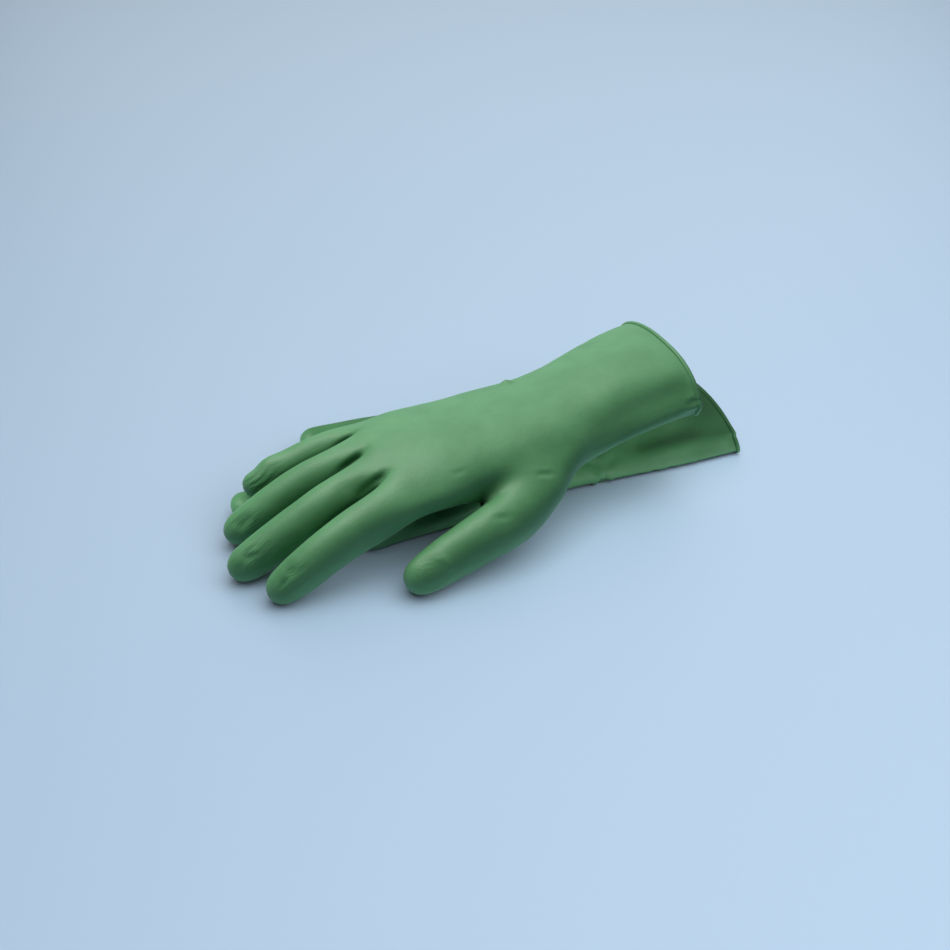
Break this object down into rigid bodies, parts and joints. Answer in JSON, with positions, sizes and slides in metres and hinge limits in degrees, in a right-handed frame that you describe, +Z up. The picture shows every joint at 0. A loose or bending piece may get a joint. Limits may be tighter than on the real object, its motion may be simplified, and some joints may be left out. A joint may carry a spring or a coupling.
{
  "type": "pair of latex gauntlet gardening gloves",
  "caption": "Pair of green dip-moulded latex gauntlet gloves with rolled cuffs, the right glove lying palm down on the left.",
  "frame": {"origin": "centre of the bounding box on the floor that the lower glove lies on", "axes": "+X from the fingertips to the cuffs, -Y towards the upper right glove's thumb, +Z up from the floor"},
  "size_m": [0.3241, 0.1803, 0.0763],
  "materials": {
    "right_hand_shell": "satin to matte green dip-moulded natural latex",
    "right_thumb_stall": "satin to matte green dip-moulded natural latex",
    "right_index_stall": "satin to matte green dip-moulded natural latex",
    "right_middle_stall": "satin to matte green dip-moulded natural latex",
    "right_ring_stall": "satin to matte green dip-moulded natural latex",
    "right_little_stall": "satin to matte green dip-moulded natural latex",
    "right_cuff_bead": "satin green natural latex, rolled edge",
    "right_flock_lining": "short cotton flock bonded to the inside of the latex",
    "left_hand_shell": "satin to matte green dip-moulded natural latex",
    "left_thumb_stall": "satin to matte green dip-moulded natural latex",
    "left_index_stall": "satin to matte green dip-moulded natural latex",
    "left_middle_stall": "satin to matte green dip-moulded natural latex",
    "left_ring_stall": "satin to matte green dip-moulded natural latex",
    "left_little_stall": "satin to matte green dip-moulded natural latex",
    "left_cuff_bead": "satin green natural latex, rolled edge",
    "left_flock_lining": "short cotton flock bonded to the inside of the latex"
  },
  "bodies": {
    "left_glove": {"left_hand_shell": "left_hand_shell", "left_index_stall": "left_index_stall", "left_middle_stall": "left_middle_stall", "left_ring_stall": "left_ring_stall", "left_little_stall": "left_little_stall", "left_cuff_bead": "left_cuff_bead", "left_flock_lining": "left_flock_lining"},
    "left_thumb": {"left_thumb_stall": "left_thumb_stall"},
    "right_glove": {"right_hand_shell": "right_hand_shell", "right_cuff_bead": "right_cuff_bead", "right_flock_lining": "right_flock_lining"},
    "right_thumb": {"right_thumb_stall": "right_thumb_stall"},
    "right_index": {"right_index_stall": "right_index_stall"},
    "right_middle": {"right_middle_stall": "right_middle_stall"},
    "right_ring": {"right_ring_stall": "right_ring_stall"},
    "right_little": {"right_little_stall": "right_little_stall"}
  },
  "joints": [
    {"name": "right_glove_lift", "type": "slide", "parent": "left_glove", "child": "right_glove", "axis": [0, 0, 1], "range_m": [0, 0.15]},
    {"name": "right_thumb_flex", "type": "hinge", "parent": "right_glove", "child": "right_thumb", "pos_m": [-0.02718, -0.07316, 0.0393], "axis": [-0.3539, 0.9353, 0], "range_deg": [0, 40], "stiffness_Nm_per_rad": 0.02},
    {"name": "right_index_flex", "type": "hinge", "parent": "right_glove", "child": "right_index", "pos_m": [-0.08458, -0.05075, 0.04922], "axis": [-0.1644, 0.9864, 0], "range_deg": [0, 45], "stiffness_Nm_per_rad": 0.02},
    {"name": "right_middle_flex", "type": "hinge", "parent": "right_glove", "child": "right_middle", "pos_m": [-0.08589, -0.02209, 0.05094], "axis": [-0.2374, 0.9714, 0], "range_deg": [0, 45], "stiffness_Nm_per_rad": 0.02},
    {"name": "right_ring_flex", "type": "hinge", "parent": "right_glove", "child": "right_ring", "pos_m": [-0.08621, 0.00252, 0.05014], "axis": [0.0995, 0.995, 0], "range_deg": [0, 45], "stiffness_Nm_per_rad": 0.02},
    {"name": "right_little_flex", "type": "hinge", "parent": "right_glove", "child": "right_little", "pos_m": [-0.07949, 0.02518, 0.0482], "axis": [0.1126, 0.9936, 0], "range_deg": [0, 45], "stiffness_Nm_per_rad": 0.02},
    {"name": "left_thumb_flex", "type": "hinge", "parent": "left_glove", "child": "left_thumb", "pos_m": [-0.01688, 0.07267, 0.0173], "axis": [0.3559, 0.9345, 0], "range_deg": [0, 40], "stiffness_Nm_per_rad": 0.02}
  ]
}
